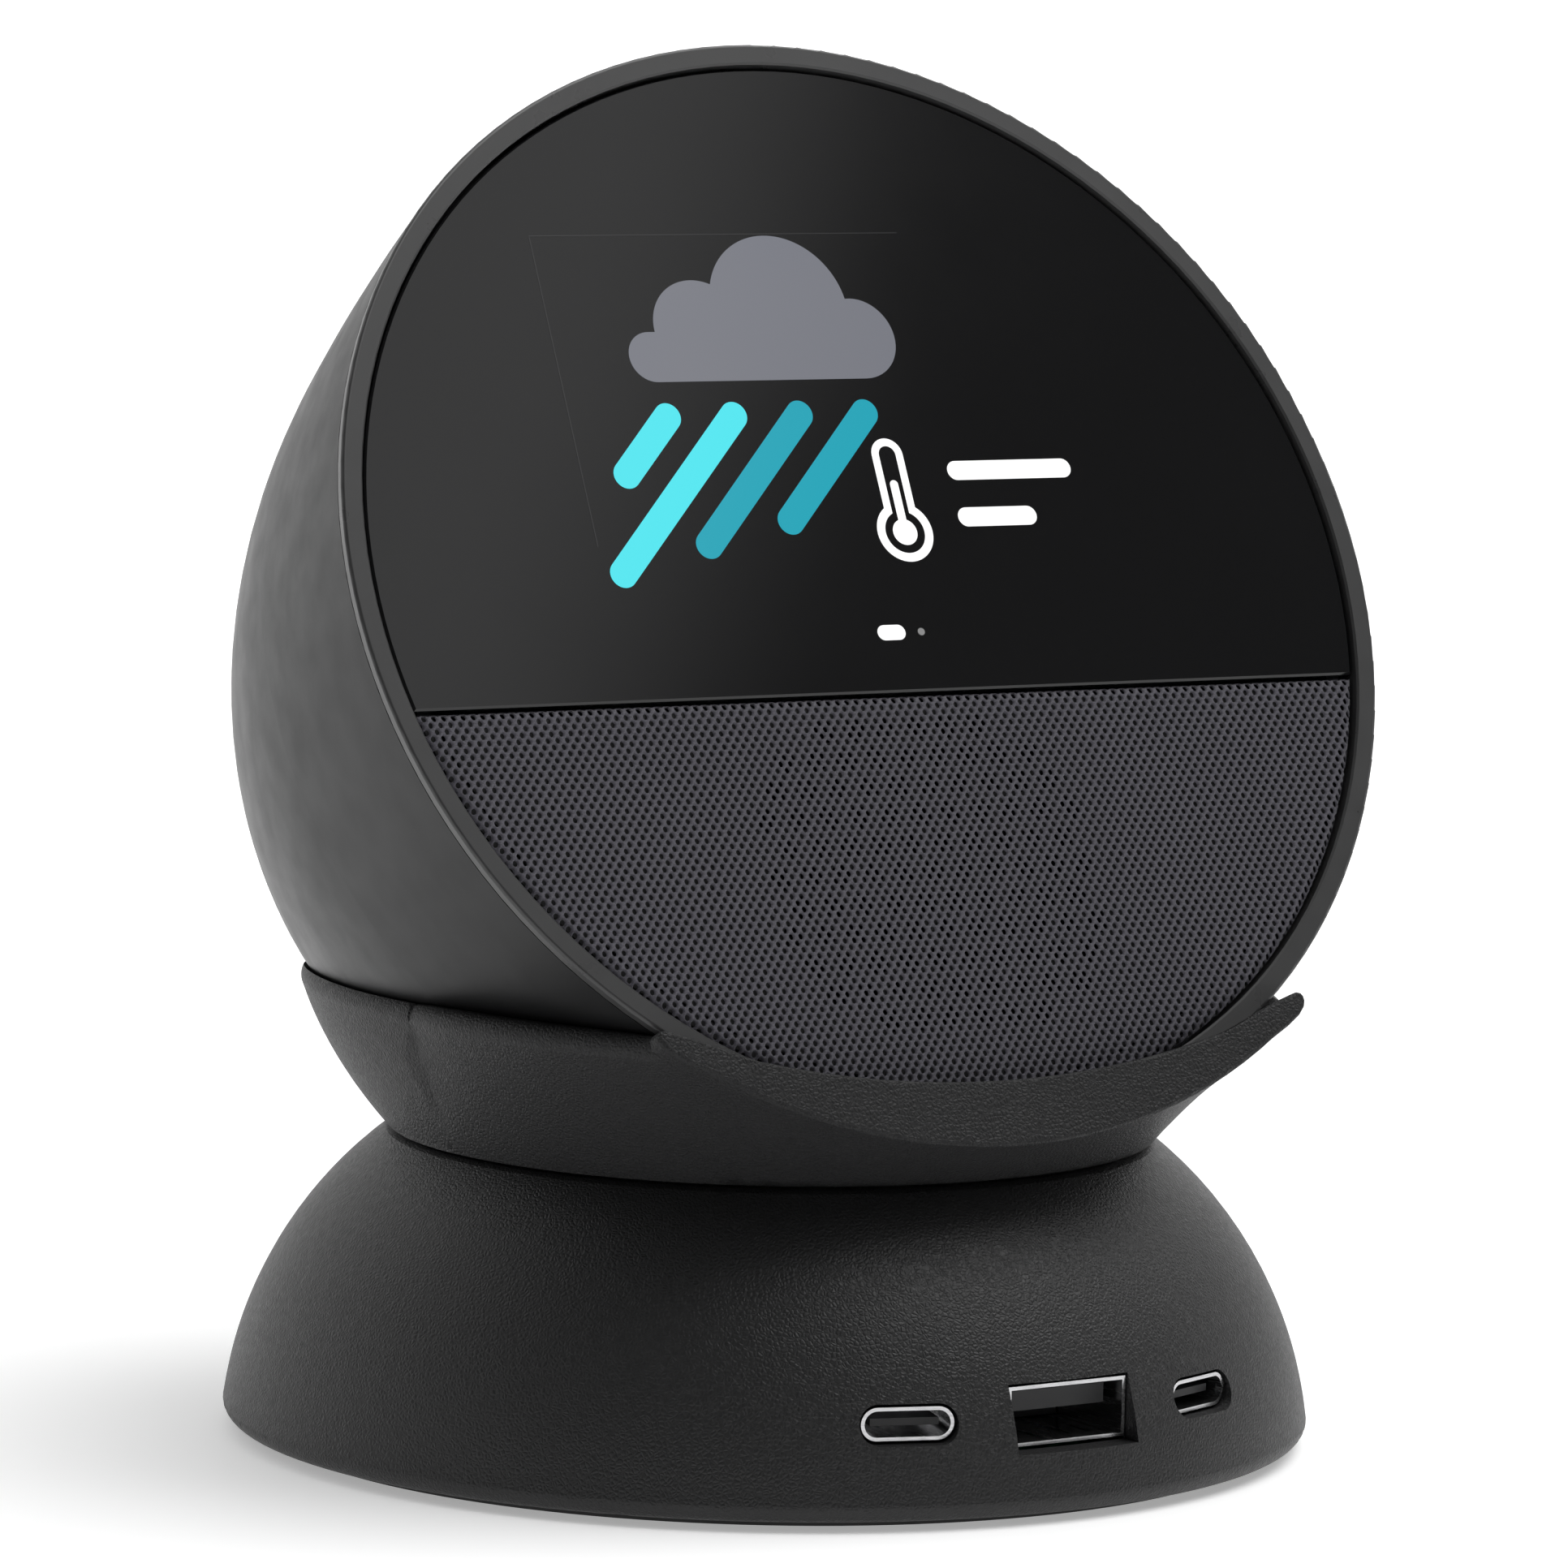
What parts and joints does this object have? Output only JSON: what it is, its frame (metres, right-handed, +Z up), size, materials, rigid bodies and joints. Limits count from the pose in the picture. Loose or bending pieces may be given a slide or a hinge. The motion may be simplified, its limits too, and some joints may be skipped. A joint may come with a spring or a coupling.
{
  "type": "smart display",
  "caption": "Round smart display with a leaning face, resting in a swivelling cup on a domed battery stand with charging sockets.",
  "frame": {"origin": "centre of the foot's underside, on the axis of the stand", "axes": "+Z up, -Y towards the viewer of the display, +X to the right of the display"},
  "size_m": [0.113, 0.1177, 0.1365],
  "materials": {
    "satin_charcoal_plastic": "satin",
    "bezel_grey_plastic": "satin",
    "black_cover_glass": "polished",
    "lcd_panel": "gloss",
    "thin_steel": "brushed",
    "black_abs": "matte",
    "knit_cloth": "woven",
    "grained_black_plastic": "fine leather grain",
    "paper_cone": "matte",
    "soft_rubber": "matte",
    "ferrite_magnet": "ground",
    "copper_winding": "enamelled",
    "circuit_board": "solder mask",
    "aluminium_sheet": "plain",
    "socket_steel": "bright",
    "cell_wrap": "shrink film",
    "slip_ring_plastic": "smooth",
    "light_pipe": "clear",
    "silicone_key": "satin"
  },
  "bodies": {
    "base": {"dome_housing": "grained_black_plastic", "thrust_ring": "slip_ring_plastic", "wave_washer": "thin_steel", "base_plate": "black_abs", "foot_pad": "soft_rubber", "base_screws": "socket_steel", "battery_cells": "cell_wrap", "cell_holder": "black_abs", "power_board": "circuit_board", "usb_a_shell": "socket_steel", "usb_a_tongue": "black_abs", "usb_c_left_shell": "socket_steel", "usb_c_left_tongue": "black_abs", "usb_c_right_shell": "socket_steel", "usb_c_right_tongue": "black_abs", "port_spacers": "black_abs", "dc_outlet": "black_abs", "charge_leds": "light_pipe"},
    "cradle": {"cradle_cup": "grained_black_plastic", "cradle_pad": "soft_rubber", "swivel_spindle": "thin_steel", "retaining_clip": "thin_steel"},
    "head": {"rear_shell": "satin_charcoal_plastic", "bezel_ring": "bezel_grey_plastic", "cover_glass": "black_cover_glass", "display_panel": "lcd_panel", "backlight_tray": "thin_steel", "front_chassis": "black_abs", "grille_cloth": "knit_cloth", "grille_frame": "black_abs", "speaker_basket": "thin_steel", "speaker_magnet": "ferrite_magnet", "speaker_surround": "soft_rubber", "speaker_enclosure": "black_abs", "speaker_leads": "soft_rubber", "main_board": "circuit_board", "shield_cans": "thin_steel", "heat_spreader": "aluminium_sheet", "board_screws": "socket_steel", "button_strip": "circuit_board", "button_bracket": "black_abs", "button_switches": "black_abs", "microphones": "thin_steel", "dc_jack": "black_abs", "head_base_plate": "black_abs", "head_foot_pad": "soft_rubber"},
    "cone": {"speaker_cone": "paper_cone", "voice_coil": "copper_winding", "dust_cap": "paper_cone"},
    "volume_up": {"volume_up_button": "silicone_key"},
    "mute": {"mute_button": "silicone_key"},
    "volume_down": {"volume_down_button": "silicone_key"},
    "power_key": {"power_button": "silicone_key"}
  },
  "joints": [
    {"name": "cradle_swivel", "type": "hinge", "parent": "base", "child": "cradle", "pos_m": [0, 0, 0.0301], "axis": [0, 0, 1], "range_deg": [-170, 170]},
    {"name": "head_lift", "type": "slide", "parent": "cradle", "child": "head", "axis": [0, 0.4585, 0.8887], "range_m": [0, 0.06]},
    {"name": "cone_stroke", "type": "slide", "parent": "head", "child": "cone", "axis": [0, -0.8887, 0.4585], "range_m": [-0.0008, 0.0008], "stiffness_N_per_m": 1500},
    {"name": "volume_up_press", "type": "slide", "parent": "head", "child": "volume_up", "axis": [0.2555, -0.5794, -0.774], "range_m": [0, 0.0004], "stiffness_N_per_m": 900, "springref_m": -0.0006},
    {"name": "mute_press", "type": "slide", "parent": "head", "child": "mute", "axis": [0, -0.5948, -0.8039], "range_m": [0, 0.0004], "stiffness_N_per_m": 900, "springref_m": -0.0006},
    {"name": "volume_down_press", "type": "slide", "parent": "head", "child": "volume_down", "axis": [-0.2555, -0.5794, -0.774], "range_m": [0, 0.0004], "stiffness_N_per_m": 900, "springref_m": -0.0006},
    {"name": "power_press", "type": "slide", "parent": "base", "child": "power_key", "axis": [0.3942, -0.8454, -0.3604], "range_m": [0, 0.0005], "stiffness_N_per_m": 900, "springref_m": -0.0006}
  ]
}
